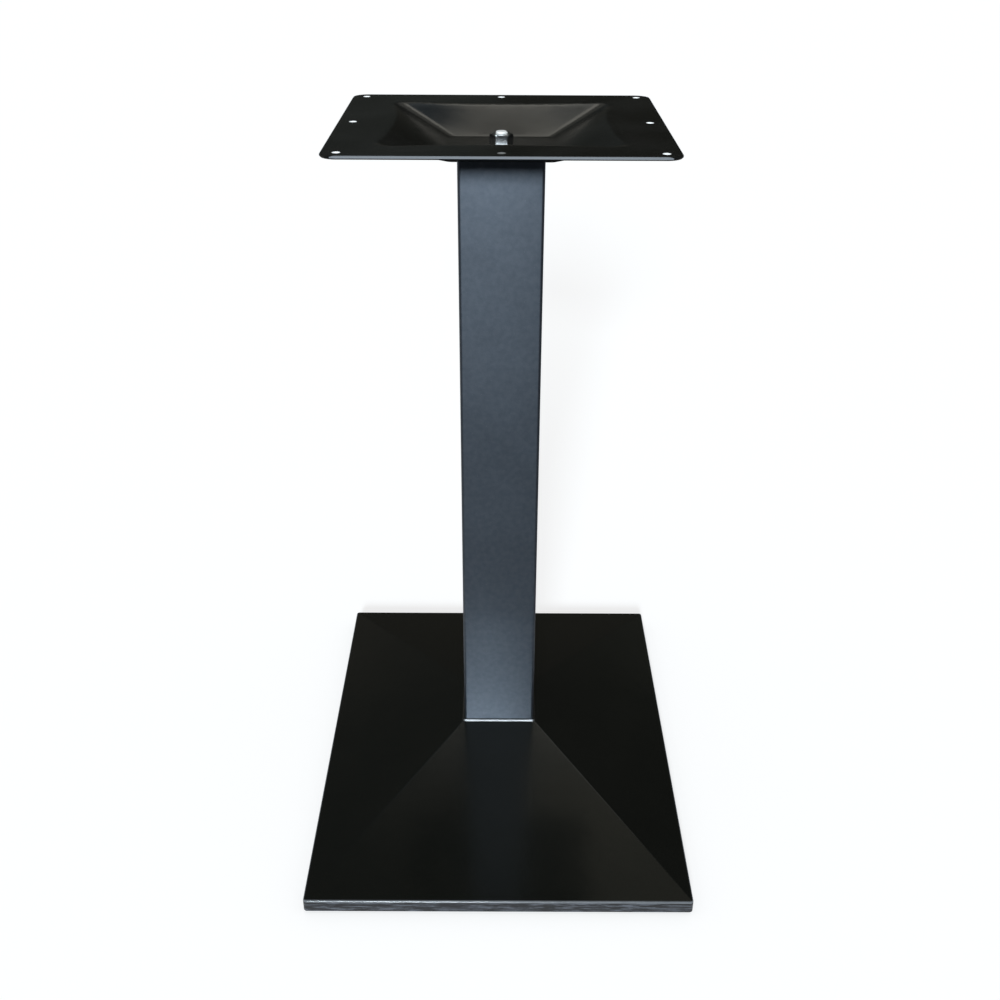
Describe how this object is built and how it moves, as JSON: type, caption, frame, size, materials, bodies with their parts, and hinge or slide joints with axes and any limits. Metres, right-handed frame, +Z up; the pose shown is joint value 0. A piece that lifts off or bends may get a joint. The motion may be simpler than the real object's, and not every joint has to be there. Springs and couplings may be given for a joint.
{
  "type": "table base",
  "caption": "Pedestal table base: hollow cast iron pyramid on levelling feet, square steel column and a dished top plate drilled for a table top.",
  "frame": {"origin": "on the floor, under the axis of the column", "axes": "+Z up along the column, +X across the short side of the base, -Y towards its front"},
  "size_m": [0.4, 0.56, 0.72],
  "materials": {
    "casting_black": "black satin coat on cast iron",
    "column_black": "fine textured black powder coat",
    "plate_black": "smooth gloss black coat",
    "washer_black": "blackened steel",
    "zinc_steel": "bright zinc plating",
    "foot_nylon": "moulded black nylon"
  },
  "bodies": {
    "pedestal": {"base_casting": "casting_black", "column": "column_black", "top_plate": "plate_black", "plate_locator": "plate_black", "tie_rod": "zinc_steel", "top_washer": "washer_black", "top_nut": "zinc_steel", "bottom_washer": "zinc_steel", "bottom_nut": "zinc_steel"},
    "foot_front_left": {"foot_pad_front_left": "foot_nylon", "foot_stud_front_left": "zinc_steel"},
    "foot_front_right": {"foot_pad_front_right": "foot_nylon", "foot_stud_front_right": "zinc_steel"},
    "foot_back_left": {"foot_pad_back_left": "foot_nylon", "foot_stud_back_left": "zinc_steel"},
    "foot_back_right": {"foot_pad_back_right": "foot_nylon", "foot_stud_back_right": "zinc_steel"}
  },
  "joints": [
    {"name": "level_front_left", "type": "slide", "parent": "pedestal", "child": "foot_front_left", "axis": [0, 0, -1], "range_m": [0, 0.008]},
    {"name": "level_front_right", "type": "slide", "parent": "pedestal", "child": "foot_front_right", "axis": [0, 0, -1], "range_m": [0, 0.008]},
    {"name": "level_back_left", "type": "slide", "parent": "pedestal", "child": "foot_back_left", "axis": [0, 0, -1], "range_m": [0, 0.008]},
    {"name": "level_back_right", "type": "slide", "parent": "pedestal", "child": "foot_back_right", "axis": [0, 0, -1], "range_m": [0, 0.008]}
  ]
}
